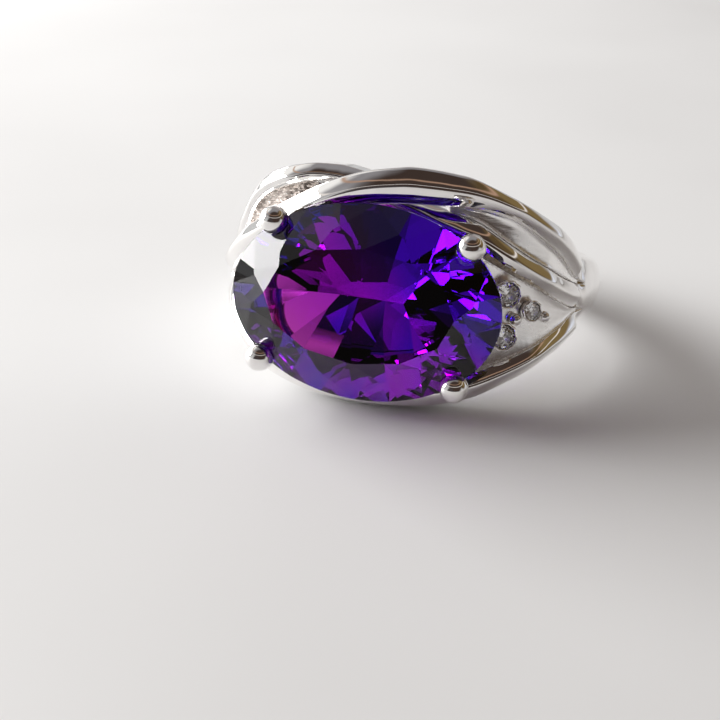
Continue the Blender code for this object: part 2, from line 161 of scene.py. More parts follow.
def surface_material(name, build, medium=None):
    """A material whose Principled shader takes the sockets that build(tree) returns. A medium is the colour
    and density of what fills the piece and takes light out evenly."""
    made = bpy.data.materials.new(name)
    tree = Tree(made)
    outputs = {"Surface": tree.add("ShaderNodeBsdfPrincipled", None, build(tree))}
    if medium:
        colour, density = medium
        inputs = {"Color": _rgba(colour), "Density": density}
        outputs["Volume"] = tree.add("ShaderNodeVolumeAbsorption", None, inputs)
    tree.add("ShaderNodeOutputMaterial", None, outputs)
    return made


# --------------------------------------------------------------------------------------------------
# Finishes


def polished_silver(tree):
    """Mirror-polished rhodium white: faint hand-polishing waves, hairline wipes and a slightly duller
    bloom."""
    wave = tree.noise(420.0, 2.0, 0.45)
    wipe = tree.noise(2600.0, 3.0, 0.6, stretch=(1.0, 0.35, 3.0))
    bloom = tree.noise(900.0, 3.0, 0.5).ramp(0.35, 0.75)
    height = wave + wipe * 0.012
    bump = tree.add("ShaderNodeBump", None, {"Strength": 0.5, "Distance": 0.00006, "Height": height})
    return {
        "Base Color": tree.mix(bloom, (0.90, 0.885, 0.87), (0.84, 0.825, 0.815)),
        "Metallic": 1.0,
        "Roughness": 0.035 + bloom * 0.04 + wipe.ramp(0.5, 0.8) * 0.03,
        "Normal": bump,
    }


def sunk_silver(tree):
    """Satin recess: brighter and softer than the strands, with a pitted, rougher line where it meets its
    walls, darkened there with painted shade as if in a crevice."""
    edge = tree.attribute("edge")
    grit = tree.noise(5200.0, 4.0, 0.65)
    wave = tree.noise(700.0, 2.0, 0.5)
    # Painted shade: near the walls the base colour darkens to brown-grey to stand in for shade in the
    # crevice; the extra roughness and pits there are real.
    pitted_crevice_shade = (edge.ramp(0.72, 1.0) * grit.ramp(0.35, 0.62)).clamped()
    height = wave * 0.2 + grit * (0.02 + edge.ramp(0.75, 1.0) * 0.4)
    bump = tree.add("ShaderNodeBump", None, {"Strength": 0.6, "Distance": 0.00009, "Height": height})
    return {
        "Base Color": tree.mix(pitted_crevice_shade, (0.97, 0.96, 0.95), (0.52, 0.48, 0.45)),
        "Metallic": 1.0,
        "Roughness": 0.24 + pitted_crevice_shade * 0.2 + wave.ramp(0.4, 0.7) * 0.05,
        "Normal": bump,
    }


def cast_silver(tree):
    """Raw cast skin: brown-grey metal with a granular surface and bright worn grains."""
    grain = tree.noise(4200.0, 5.0, 0.62)
    lumps = tree.noise(1500.0, 3.0, 0.5)
    spark = tree.noise(9000.0, 2.0, 0.5).ramp(0.6, 0.7)
    height = lumps * 0.7 + grain * 0.7
    bump = tree.add("ShaderNodeBump", None, {"Strength": 0.8, "Distance": 0.00011, "Height": height})
    skin = tree.mix(lumps.ramp(0.35, 0.65), (0.24, 0.205, 0.185), (0.46, 0.41, 0.38))
    return {
        "Base Color": tree.mix(spark, skin, (0.9, 0.88, 0.85)),
        "Metallic": 1.0,
        "Roughness": 0.4 + grain.ramp(0.4, 0.6) * 0.2,
        "Normal": bump,
    }


def violet_quartz(tree):
    """Violet quartz whose colour changes by place to paint in the light and shade seen inside the stone: rose
    and magenta painted light at one end, violet in the middle and low down, indigo painted shade at the upper
    part of the other end."""
    place = tree.add("ShaderNodeTexCoord", output=3)
    across = tree.add("ShaderNodeSeparateXYZ", None, {"Vector": place}, output=0)
    above = tree.add("ShaderNodeSeparateXYZ", None, {"Vector": place}, output=2)
    cloud = tree.noise(260.0, 2.0, 0.5)
    # Painted light and shade: this share by position shifts the stone's colour to stand in for its inner
    # reflections and shade, not a real colour zoning.
    light_and_shade_share = across * 95.0 + above * 100.0 + (cloud - 0.5) * 0.35 - 0.44
    warm = tree.mix(light_and_shade_share.ramp(-0.75, 0.15), (1.0, 0.30, 0.62), (0.97, 0.26, 1.0))
    return {
        "Base Color": tree.mix(light_and_shade_share.ramp(0.05, 0.65), warm, (0.03, 0.07, 1.0)),
        "Metallic": 0.0,
        "Roughness": 0.0,
        "IOR": 1.86,
        "Specular Tint": (0.48, 0.47, 0.48, 1.0),
        "Transmission Weight": 1.0,
    }


def clear_stone(tree):
    """Clear brilliant with a faint grey girdle haze."""
    haze = tree.noise(3000.0, 2.0, 0.5)
    return {
        "Base Color": tree.mix(haze.ramp(0.3, 0.8), (1.0, 1.0, 1.0), (0.93, 0.95, 0.98)),
        "Metallic": 0.0,
        "Roughness": 0.0,
        "IOR": 2.2,
        "Transmission Weight": 1.0,
    }


VIOLET_MEDIUM = ((0.76, 0.0, 0.86), 430.0)
FINISHES = {
    "polished_silver": surface_material("polished_silver_finish", polished_silver),
    "sunk_silver": surface_material("sunk_silver_finish", sunk_silver),
    "cast_silver": surface_material("cast_silver_finish", cast_silver),
    "violet_quartz": surface_material("violet_quartz_finish", violet_quartz, VIOLET_MEDIUM),
    "clear_stone": surface_material("clear_stone_finish", clear_stone),
}


# --------------------------------------------------------------------------------------------------
# Making surfaces


CREASE_ANGLE = math.radians(50)


def place_piece(name, mesh, slot, *nodes):
    """Put a finished mesh in the scene as a piece that stands for CAD nodes."""
    piece = bpy.data.objects.new(name, mesh)
    bpy.context.scene.collection.objects.link(piece)
    mesh.materials.append(FINISHES[slot])
    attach(piece, "root")
    if nodes:
        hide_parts(*nodes)
    return piece


def grid_mesh(name, grid, edge=None, ring=False, capped=True):
    """Mesh of a grid of points (rows, columns, 3) in ring millimetres, closed round its columns. A ring is
    also closed round its rows, and a capped grid has one face over each end. Edge is an attribute of that
    name on the grid."""
    rows, columns = grid.shape[:2]
    row, column = np.meshgrid(np.arange(rows if ring else rows - 1), np.arange(columns), indexing="ij")
    next_row, next_column = (row + 1) % rows, (column + 1) % columns
    corners = [row * columns + column, row * columns + next_column, next_row * columns + next_column,
               next_row * columns + column]
    faces = np.stack(corners, axis=-1).reshape(-1, 4).tolist()
    if capped:
        faces += [list(range(columns))[::-1], list(range((rows - 1) * columns, rows * columns))]
    mesh = bpy.data.meshes.new(name)
    mesh.from_pydata(in_world(grid.reshape(-1, 3)).tolist(), [], faces)
    if edge is not None:
        layer = mesh.attributes.new("edge", "FLOAT", "POINT")
        layer.data.foreach_set("value", np.asarray(edge, np.float32).ravel())
    outwards(mesh)
    mesh.shade_smooth()
    mesh.set_sharp_from_angle(angle=CREASE_ANGLE)
    return mesh


def outwards(mesh):
    """Weld doubles and turn every face outwards, by the sign of the volume."""
    shape = bmesh.new()
    shape.from_mesh(mesh)
    bmesh.ops.remove_doubles(shape, verts=shape.verts, dist=1e-7)
    bmesh.ops.scale(shape, vec=(1 / MM,) * 3, verts=shape.verts)
    bmesh.ops.recalc_face_normals(shape, faces=shape.faces)
    if shape.calc_volume(signed=True) < 0:
        bmesh.ops.reverse_faces(shape, faces=shape.faces)
    bmesh.ops.scale(shape, vec=(MM,) * 3, verts=shape.verts)
    shape.to_mesh(mesh)
    shape.free()


def along(keys, at):
    """Smooth curve through (place, value) keys, worked out at every place in an array: a cubic on each
    stretch whose end slopes are the harmonic mean of the two neighbouring rises, so it never swings past
    its keys."""
    place, value = np.array(keys, float).T
    rise = np.diff(value) / np.diff(place)
    product = rise[:-1] * rise[1:]
    total = rise[:-1] + rise[1:]
    inner = np.where(product > 0, 2 * product / np.where(total == 0, 1, total), 0.0)
    slope = np.concatenate([rise[:1], inner, rise[-1:]])
    at = np.asarray(at, float)
    i = np.clip(np.searchsorted(place, at, side="right") - 1, 0, len(place) - 2)
    span = place[i + 1] - place[i]
    s = (at - place[i]) / span
    start = (1 + 2 * s) * (1 - s) ** 2 * value[i] + s * (1 - s) ** 2 * span * slope[i]
    end = s * s * (3 - 2 * s) * value[i + 1] + s * s * (s - 1) * span * slope[i + 1]
    return start + end


def on_ring(angle, radius, height):
    """Points at angles round the finger from the head's middle, towards +X."""
    turn = np.radians(angle)
    return np.stack([radius * np.sin(turn), -radius * np.cos(turn), height + 0 * turn], axis=-1)


def rounded(corners, radii, arc=6, flat=4):
    """Closed outline through corners (n, k, 2) for n stations at once. Each corner becomes a parabola that
    starts and ends its own radius away along the two sides, and each straight stretch between them gets
    evenly spaced points."""
    before = np.roll(corners, 1, axis=1) - corners
    after = np.roll(corners, -1, axis=1) - corners
    reach_before = np.minimum(radii, 0.48 * np.linalg.norm(before, axis=-1))[..., None]
    reach_after = np.minimum(radii, 0.48 * np.linalg.norm(after, axis=-1))[..., None]
    start = corners + before / np.maximum(np.linalg.norm(before, axis=-1, keepdims=True), 1e-9) * reach_before
    end = corners + after / np.maximum(np.linalg.norm(after, axis=-1, keepdims=True), 1e-9) * reach_after
    s = np.linspace(0, 1, arc)[:, None]
    curve = ((1 - s) ** 2 * start[:, :, None] + 2 * s * (1 - s) * corners[:, :, None]
             + s * s * end[:, :, None])
    t = np.linspace(0, 1, flat + 2)[1:-1, None]
    line = end[:, :, None] * (1 - t) + np.roll(start, -1, axis=1)[:, :, None] * t
    return np.concatenate([curve, line], axis=2).reshape(len(corners), -1, 2)


def swept(angles, sections):
    """Outlines (n, k, 2) of radius and height carried round the finger."""
    return on_ring(np.asarray(angles)[:, None], sections[..., 0], sections[..., 1])


# --------------------------------------------------------------------------------------------------
# Shank and strands: keys of (angle, value)

FINGER_RADIUS = 8.5
SHANK_START = 66.0
SHANK_WALL = 9.6
SHANK_TONGUE = 5.0
TONGUE_DROP = 0.4
TONGUE_INSET = 0.4
SHANK_STATIONS = 320
DOME_CORNERS = 5
DOME_ROUND = 0.3
BORE_ROUND = 0.16
WALL_ROUND = 0.12
GAP = 0.04

SHANK_OUTER = [(66, 11.02), (80, 10.5), (110, 10.25), (180, 10.1), (250, 10.25), (280, 10.5),
               (294, 11.02)]
SHANK_TOP = [(66, 2.4), (78, 2.2), (95, 1.85), (110, 1.7), (250, 1.7), (265, 1.75), (282, 1.9),
             (294, 2.0)]
SHANK_BOTTOM = [(66, -1.6), (78, -1.3), (95, -1.12), (110, -1.05), (250, -1.05), (265, -1.12),
                (282, -1.4), (294, -1.75)]
CROSSING_THICK = [(-66, 2.4), (-50, 2.6), (-32, 2.5), (-20, 1.5), (-14, 1.42), (14, 1.42), (24, 1.8),
                  (36, 2.6), (50, 2.6), (66, 2.4)]
LOOP_THICK = [(-66, 2.4), (-50, 2.6), (-32, 2.4), (-18, 1.8), (18, 1.8), (32, 2.4), (50, 2.6), (66, 2.4)]
LOWER_THICK = [(-66, 2.4), (-50, 2.6), (-25, 2.3), (25, 2.3), (50, 2.6), (66, 2.4)]
CROSSING_OUTER = [(-66, 11.0), (-60, 11.4), (-50, 12.1), (-40, 12.6), (-30, 12.8), (-14, 12.9),
                  (0, 12.75), (12, 12.7), (25, 12.7), (35, 12.75), (45, 12.5), (52, 12.0), (60, 11.4),
                  (66, 11.02)]
CROSSING_TOP = [(-66, 0.75), (-60, 0.9), (-50, 1.6), (-45, 2.1), (-39, 2.77), (-34, 3.26), (-29, 3.91),
                (-25, 4.44), (-19, 5.1), (-14, 5.65), (-8, 6.2), (-3, 6.55), (3, 6.8), (8, 6.94),
                (20, 6.71), (32, 5.82), (42, 4.85), (54, 3.65), (60, 2.95), (66, 2.4)]
CROSSING_BOTTOM = [(-66, -0.45), (-60, -0.35), (-50, 0.25), (-45, 0.7), (-35, 1.75), (-25, 2.75),
                   (-20, 3.25), (-14, 3.85), (-7, 4.5), (0, 4.9), (8, 5.08), (17, 5.1), (26, 5.02),
                   (33, 4.65), (38, 4.13), (43, 3.52), (49, 2.84), (53, 2.35), (57, 1.8), (60, 1.45),
                   (66, 1.04)]
LOOP_OUTER = [(-66, 10.85), (-60, 11.0), (-50, 11.5), (-42, 12.0), (-34, 12.3), (-26, 12.15),
              (-20, 11.75), (-16, 11.4), (-12, 11.2), (-5, 11.1), (5, 11.1), (12, 11.2), (17, 11.45),
              (22, 11.9), (28, 12.25), (35, 12.45), (45, 12.3), (50, 12.0), (60, 11.4), (66, 11.02)]
LOOP_TOP = [(-66, 2.0), (-60, 2.2), (-50, 3.0), (-45, 3.75), (-40, 4.6), (-35, 5.4), (-30, 6.0),
            (-24, 6.4), (-19, 6.58), (-14, 6.6), (-8, 6.45), (0, 6.05), (5, 5.75), (10, 5.4), (15, 5.0),
            (20, 4.7), (25, 4.4), (33, 3.44), (39, 2.75), (45, 2.2), (54, 1.5), (60, 1.2), (66, 1.0)]
LOOP_BOTTOM = [(-66, 0.79), (-60, 0.94), (-50, 1.64), (-45, 2.2), (-41, 2.95), (-38, 3.7), (-34, 4.4),
               (-29, 4.95), (-24, 5.28), (-19, 5.5), (-14, 5.45), (-8, 5.15), (0, 4.6), (10, 3.9),
               (15, 3.5), (20, 3.1), (25, 2.72), (33, 1.9), (38, 1.41), (43, 0.93), (50, 0.35),
               (60, -0.2), (66, -0.28)]
LOWER_OUTER = [(-66, 10.95), (-60, 11.2), (-50, 11.7), (-40, 12.25), (-30, 12.5), (-15, 12.3), (0, 12.2),
               (15, 12.3), (30, 12.6), (40, 12.6), (50, 12.1), (60, 11.4), (66, 11.02)]
LOWER_TOP = [(-66, -0.49), (-60, -0.6), (-50, -1.14), (-43, -1.74), (-32, -2.75), (-20, -3.65),
             (-8, -4.05), (8, -4.05), (20, -3.65), (32, -2.75), (43, -1.74), (50, -1.14), (60, -0.5),
             (66, -0.32)]
LOWER_BOTTOM = [(-66, -1.75), (-60, -1.95), (-47, -2.65), (-36, -3.74), (-25, -4.7), (-13, -5.25),
                (0, -5.43), (13, -5.32), (25, -4.77), (36, -3.74), (47, -2.65), (60, -1.85), (66, -1.6)]


def crossing_top(angle):
    return along(CROSSING_TOP, angle)


def crossing_bottom(angle):
    edge = along(CROSSING_BOTTOM, angle)
    return np.where(angle > 50, np.maximum(edge, loop_top(angle) + GAP), edge)


def loop_top(angle):
    return along(LOOP_TOP, angle)


def loop_bottom(angle):
    edge = along(LOOP_BOTTOM, angle)
    return np.where(angle < -17, np.maximum(edge, crossing_top(angle) + GAP), edge)


def lower_top(angle):
    limit = np.minimum(crossing_bottom(angle), loop_bottom(angle)) - GAP
    return np.minimum(along(LOWER_TOP, angle), limit)


def lower_bottom(angle):
    return along(LOWER_BOTTOM, angle)


# A strand's outer side is a gable: a crest with a face on each side, each a little domed
EDGE_DROP = 0.42
FACE_DOME = 0.06
CREST_ROUND = 0.16
SIDE_ROUND = 0.14
FACE_ROUND = 0.4
INSIDE_ROUND = 0.12
STRAND_STATIONS = 260
MERGE_START = 60.5


def shank_dome(angles, heights):
    """Radius of the shank's domed outside at its end faces, at heights (n, k) for stations on either
    hand."""
    right = np.asarray(angles)[:, None] > 0
    top = np.where(right, SHANK_TOP[0][1], SHANK_TOP[-1][1])
    bottom = np.where(right, SHANK_BOTTOM[0][1], SHANK_BOTTOM[-1][1])
    off_middle = (heights - (top + bottom) / 2) / ((top - bottom) / 2)
    return SHANK_WALL + (SHANK_OUTER[0][1] - SHANK_WALL) * np.sqrt(np.clip(1 - off_middle ** 2, 0, 1))


def strand_sections(angles, outer, top, bottom, thick, crest):
    """Outline at each station: flat inside, upright sides, then up each domed face to the crest. Crest
    is the crest's share of the width from the bottom edge. Towards the shank the outside melts into its
    dome."""
    middle = bottom + (top - bottom) * crest
    side = outer - EDGE_DROP
    inside = outer - thick
    low_face = (bottom + middle) / 2
    high_face = (top + middle) / 2
    face = (side + outer) / 2 + FACE_DOME
    corners = np.stack([
        np.stack([inside, bottom], -1),
        np.stack([side, bottom], -1),
        np.stack([face, low_face], -1),
        np.stack([outer, middle], -1),
        np.stack([face, high_face], -1),
        np.stack([side, top], -1),
        np.stack([inside, top], -1),
    ], axis=1)
    merge = np.clip((np.abs(angles) - MERGE_START) / (SHANK_START - MERGE_START), 0, 1)[:, None]
    merge = merge * merge * (3 - 2 * merge)
    outside = corners[:, 1:6]
    outside[..., 0] += (shank_dome(angles, outside[..., 1]) - outside[..., 0]) * merge
    half = [INSIDE_ROUND, SIDE_ROUND, FACE_ROUND]
    radii = np.array(half + [CREST_ROUND] + half[::-1])
    return rounded(corners, radii)


def make_strand(name, outer, top, bottom, thick, crest, node):
    """Strand swept round the finger. Its two ends sink into the shank as they narrow to its end faces."""
    angles = np.linspace(-SHANK_START, SHANK_START, STRAND_STATIONS)
    crest_share = crest(angles) if callable(crest) else crest
    sections = strand_sections(angles, along(outer, angles), top(angles), bottom(angles),
                               along(thick, angles), crest_share)
    return place_piece(name, grid_mesh(name, swept(angles, sections)), "polished_silver", node)


def make_shank():
    """Flat-walled band with a domed outside and softened edges. Past its end faces it dips under the
    strands."""
    angles = np.linspace(SHANK_START - SHANK_TONGUE, 360 - SHANK_START + SHANK_TONGUE,
                         SHANK_STATIONS)
    outer, top, bottom = (along(keys, angles) for keys in (SHANK_OUTER, SHANK_TOP, SHANK_BOTTOM))
    past = np.maximum(0, np.maximum(SHANK_START - angles, angles - 360 + SHANK_START)) / SHANK_TONGUE
    outer = outer - TONGUE_DROP * past
    top, bottom = top - TONGUE_INSET * past ** 0.5, bottom + TONGUE_INSET * past ** 0.5
    wall = np.full_like(angles, SHANK_WALL)
    inner = np.full_like(angles, FINGER_RADIUS)
    crown = outer - wall
    middle, half = (top + bottom) / 2, (top - bottom) / 2
    dome = [(wall + crown * math.cos(turn), middle + half * math.sin(turn))
            for turn in np.radians(np.linspace(-60, 60, DOME_CORNERS))]
    pairs = [(inner, bottom), (wall, bottom), *dome, (wall, top), (inner, top)]
    corners = np.stack([np.stack(pair, -1) for pair in pairs], axis=1)
    radii = np.array([BORE_ROUND, WALL_ROUND] + [DOME_ROUND] * DOME_CORNERS + [WALL_ROUND, BORE_ROUND])
    place_piece("shank_silver", grid_mesh("shank_silver", swept(angles, rounded(corners, radii))),
                "polished_silver", "shank")


def loop_crest(angle):
    """The loop strand's crest lies low while it stands up round the window, and mid-width elsewhere."""
    return 0.5 - 0.1 * np.clip((-17 - angle) / 8, 0, 1)


make_shank()
make_strand("crossing_strand_silver", CROSSING_OUTER, crossing_top, crossing_bottom, CROSSING_THICK, 0.5,
            "crossing_strand")
make_strand("loop_strand_silver", LOOP_OUTER, loop_top, loop_bottom, LOOP_THICK, loop_crest, "loop_strand")
make_strand("lower_strand_silver", LOWER_OUTER, lower_top, lower_bottom, LOWER_THICK, 0.5, "lower_strand")


# --------------------------------------------------------------------------------------------------
# Sunk plates

SHOULDER_SUNK = 0.45
WINDOW_SUNK = 0.55
PLATE_OVERLAP = 0.06
PLATE_STATIONS = 160
PLATE_ACROSS = 60
END_CLIMB = 0.12


def shoulder_radius(angle):
    return along(LOWER_OUTER, angle) - SHOULDER_SUNK


def window_radius(angle):
    return np.minimum(along(LOOP_OUTER, angle), along(CROSSING_OUTER, angle)) - WINDOW_SUNK


def make_plate(name, first, last, low, high, radius, thick, rim, texture, slot, node):
    """Dished floor between two strand edges: level in the middle and climbing near both walls with the
    fourth power of the distance across. Texture adds a fine unevenness of that height in millimetres."""
    angles = np.linspace(first, last, PLATE_STATIONS)
    across = np.linspace(-1, 1, PLATE_ACROSS)
    bottom, top = low(angles) + GAP - PLATE_OVERLAP, high(angles) - GAP + PLATE_OVERLAP
    height = (bottom + top)[:, None] / 2 + (top - bottom)[:, None] / 2 * across[None]
    s = np.linspace(0, 1, PLATE_STATIONS)[:, None]
    ends = np.maximum(0, 1 - s / END_CLIMB) ** 2 + np.maximum(0, 1 - (1 - s) / END_CLIMB) ** 2
    climb = np.maximum(across[None] ** 4, np.clip(ends, 0, 1))
    turn = np.radians(angles)[:, None] * 40
    bumps = (np.sin(turn * 1.7 + height * 9) * np.sin(height * 13 - turn * 0.6)
             + 0.6 * np.sin(turn * 4.1 - height * 21) * np.sin(height * 27 + turn * 2.2))
    floor = radius(angles)[:, None] + rim * climb + texture * bumps
    under = np.broadcast_to((radius(angles) - thick)[:, None], floor.shape)
    grid = np.concatenate([swept(angles, np.stack([floor, height], -1)),
                           swept(angles, np.stack([under, height[:, ::-1]], -1))], axis=1)
    edge = np.concatenate([climb, climb[:, ::-1]], axis=1)
    return place_piece(name, grid_mesh(name, grid, edge), slot, node)


make_plate("left_shoulder_floor", -63, -27, lower_top, crossing_bottom, shoulder_radius, 0.9, 0.12, 0.002,
           "sunk_silver", "left_shoulder_plate")
make_plate("right_shoulder_floor", 27, 63, lower_top, loop_bottom, shoulder_radius, 0.9, 0.12, 0.002,
           "sunk_silver", "right_shoulder_plate")
make_plate("loop_window_floor", -42, -18.5, crossing_top, loop_bottom, window_radius, 0.5, 0.15, 0.03,
           "cast_silver", "loop_window_plate")
make_plate("teardrop_window_floor", 18, 63, loop_top, crossing_bottom, window_radius, 0.5, 0.14, 0.002,
           "sunk_silver", "teardrop_window_plate")


# --------------------------------------------------------------------------------------------------
# Centre stone

GIRDLE_HEIGHT = 13.0
STONE_LENGTH = 14.0
STONE_WIDTH = 10.0
STONE_TURN = math.radians(2.0)
GIRDLE_THICK = 0.2
CROWN_HEIGHT = 1.5
CROWN_INSET = 2.1
PAVILION_DEPTH = 4.1
STONE_MAINS = 12
STAR_REACH = 0.52
LOWER_REACH = 0.76


def in_stone(x, z, height):
    """Points given across the oval and in front of the girdle plane, turned with the stone."""
    return np.stack([x * math.cos(STONE_TURN) + z * math.sin(STONE_TURN), -GIRDLE_HEIGHT - height + 0 * x,
                     -x * math.sin(STONE_TURN) + z * math.cos(STONE_TURN)], axis=-1)


def facet_planes(length, width, sides, drop, level, tip, reach):
    """Facets of one side of a brilliant as (point, normal) in (x, y, height). The mains run from the girdle
    at height level to the table's corners or the culet at height tip. The halves take two neighbouring
    girdle points and a point on the crease between two mains, at share reach of the way."""
    up = 1 if tip > level else -1

    def girdle(turn):
        return Vector((length / 2 * math.cos(turn), width / 2 * math.sin(turn), level))

    def inner(turn, share):
        x = (length / 2 - drop[0] * share) * math.cos(turn)
        y = (width / 2 - drop[1] * share) * math.sin(turn)
        return Vector((x, y, level + (tip - level) * share))

    def facet(a, b, c):
        normal = (b - a).cross(c - a).normalized()
        return a, -normal if normal.z * up < 0 else normal

    step = TAU / sides
    turns = [i * step for i in range(sides)]
    tangents = [Vector((-length * math.sin(turn), width * math.cos(turn), 0)) for turn in turns]
    mains = [facet(girdle(turn), girdle(turn) + tangent, inner(turn, 1.0))
             for turn, tangent in zip(turns, tangents)]
    planes = list(mains)
    for i, turn in enumerate(turns):
        crease = inner(turn + step / 2, reach)
        heights = [p.z - n.x / n.z * (crease.x - p.x) - n.y / n.z * (crease.y - p.y)
                   for p, n in (mains[i], mains[(i + 1) % sides])]
        crease.z = min(heights) if up > 0 else max(heights)
        planes.append(facet(girdle(turn), girdle(turn + step / 2), crease))
        planes.append(facet(girdle(turn + step / 2), girdle(turn + step), crease))
        if up > 0:
            planes.append(facet(inner(turn, 1.0), inner(turn + step, 1.0), crease))
    return planes


def brilliant_planes(length, width, girdle, crown, inset, depth, mains):
    half = girdle / 2
    planes = facet_planes(length, width, mains, (inset, inset), half, half + crown, STAR_REACH)
    # The pavilion slopes alike all round, so the mains of an oval meet in a short keel and not in a point.
    planes += facet_planes(length, width, mains, (width / 2, width / 2), -half, -half - depth, LOWER_REACH)
    planes.append((Vector((0, 0, half + crown)), Vector((0, 0, 1))))
    return planes


def cut_stone(name, size, planes, sides, place):
    """Oval prism cut by every facet plane, so each facet is exactly flat; place maps (n, 3) points into the
    ring."""
    length, width, top, bottom = size
    shape = bmesh.new()
    turns = [TAU * i / sides for i in range(sides)]
    outline = [shape.verts.new((length / 2 * math.cos(t), width / 2 * math.sin(t), bottom)) for t in turns]
    lifted = bmesh.ops.extrude_face_region(shape, geom=[shape.faces.new(outline)])["geom"]
    corners = [item for item in lifted if isinstance(item, bmesh.types.BMVert)]
    bmesh.ops.translate(shape, verts=corners, vec=(0, 0, top - bottom))
    for point, normal in planes:
        geometry = shape.verts[:] + shape.edges[:] + shape.faces[:]
        bmesh.ops.bisect_plane(shape, geom=geometry, plane_co=point, plane_no=normal, dist=1e-5,
                               clear_outer=True)
        bmesh.ops.holes_fill(shape, edges=[edge for edge in shape.edges if edge.is_boundary])
    bmesh.ops.remove_doubles(shape, verts=shape.verts, dist=1e-4)
    mesh = bpy.data.meshes.new(name)
    shape.to_mesh(mesh)
    shape.free()
    points = np.empty(len(mesh.vertices) * 3)
    mesh.vertices.foreach_get("co", points)
    mesh.vertices.foreach_set("co", in_world(place(points.reshape(-1, 3))).ravel())
    outwards(mesh)
    mesh.shade_flat()
    return mesh


def place_centre(points):
    return in_stone(points[:, 0], points[:, 1], points[:, 2])


centre_planes = brilliant_planes(STONE_LENGTH, STONE_WIDTH, GIRDLE_THICK, CROWN_HEIGHT, CROWN_INSET,
                                 PAVILION_DEPTH, STONE_MAINS)
centre_size = (STONE_LENGTH, STONE_WIDTH, CROWN_HEIGHT + GIRDLE_THICK, -PAVILION_DEPTH - GIRDLE_THICK)
place_piece("centre_stone_cut", cut_stone("centre_stone_cut", centre_size, centre_planes, 96, place_centre),
            "violet_quartz", "centre_stone")


# --------------------------------------------------------------------------------------------------
# Basket: base rail and claws

CLAW_PLACE = (5.1, 3.55)
CLAW_BEAD_RADIUS = 0.72
CLAW_WIRE_RADIUS = 0.42
CLAW_RISE = 0.45
CLAW_PATH = [(0.0, 1.0), (0.75, 0.985), (1.5, 0.9), (2.3, 0.78), (3.05, 0.65)]
RAIL_LENGTH = 9.2
RAIL_WIDTH = 6.5
RAIL_DEPTH = 2.6
RAIL_RADIUS = 0.36
STONE_CLEARANCE = 0.015
PUSH_ROUNDS = 6


def clear_of_stone(points):
    """Push points (n, 3) that would be inside the centre stone out through its nearest facet. Only the
    points are moved, so a face between two of them can still cross the stone's edge."""
    x = points[:, 0] * math.cos(STONE_TURN) - points[:, 2] * math.sin(STONE_TURN)
    z = points[:, 0] * math.sin(STONE_TURN) + points[:, 2] * math.cos(STONE_TURN)
    local = np.stack([x, z, -points[:, 1] - GIRDLE_HEIGHT], axis=-1)
    turns = np.linspace(0, TAU, 97)[:-1]
    rim = np.stack([STONE_LENGTH / 2 * np.cos(turns), STONE_WIDTH / 2 * np.sin(turns), 0 * turns], -1)
    rim_normal = np.stack([np.cos(turns) / STONE_LENGTH, np.sin(turns) / STONE_WIDTH, 0 * turns], -1)
    rim_normal /= np.linalg.norm(rim_normal, axis=1, keepdims=True)
    spots = np.concatenate([np.array([p[:] for p, _ in centre_planes]), rim])
    normals = np.concatenate([np.array([n[:] for _, n in centre_planes]), rim_normal])
    for _ in range(PUSH_ROUNDS):
        depth = local @ normals.T - (spots * normals).sum(1)
        nearest = depth.argmax(1)
        push = np.maximum(STONE_CLEARANCE - depth[np.arange(len(local)), nearest], 0)
        local = local + normals[nearest] * push[:, None]
    return in_stone(local[:, 0], local[:, 1], local[:, 2])


def tube_grid(path, radii, sides):
    """Round section of varying radius carried along a path (n, 3), square to it at every station."""
    ahead = np.gradient(path, axis=0)
    ahead /= np.linalg.norm(ahead, axis=1, keepdims=True)
    side = np.cross(ahead, np.array([0.31, 0.2, 0.93]))
    side /= np.linalg.norm(side, axis=1, keepdims=True)
    other = np.cross(ahead, side)
    turns = np.linspace(0, TAU, sides + 1)[:-1]
    ring = side[:, None] * np.cos(turns)[:, None] + other[:, None] * np.sin(turns)[:, None]
    return path[:, None] + ring * np.asarray(radii)[:, None, None]


def make_claw(name, side, level, node):
    """Wire from the base rail up to a bead over the girdle. Its radius is the bead's circle near the tip, a
    ball flattened a little on top, and joins the wire's radius through a short neck."""
    depth = np.concatenate([-CLAW_BEAD_RADIUS * np.cos(np.linspace(0, math.pi / 2, 24)),
                            np.linspace(0.02, CLAW_PATH[-1][0], 70)])
    share = along([(-1.0, 1.02), *CLAW_PATH], depth)
    path = in_stone(side * CLAW_PLACE[0] * share, level * CLAW_PLACE[1] * share, CLAW_RISE - depth * 0.98)
    ball = np.sqrt(np.clip(1 - np.abs(depth / CLAW_BEAD_RADIUS) ** 2.3, 0, 1)) * CLAW_BEAD_RADIUS
    blend = np.clip((depth - 0.25) / 0.45, 0, 1)
    wire = np.where(depth > 0.2, CLAW_WIRE_RADIUS, 0)
    radii = np.maximum(np.maximum(ball, wire), 0.004)
    radii = np.where(depth > 0.25, np.maximum(radii, CLAW_BEAD_RADIUS + (CLAW_WIRE_RADIUS - CLAW_BEAD_RADIUS)
                                              * blend * blend * (3 - 2 * blend)), radii)
    grid = tube_grid(path, radii, 40)
    shape = clear_of_stone(grid.reshape(-1, 3)).reshape(grid.shape)
    place_piece(name, grid_mesh(name, shape), "polished_silver", node)


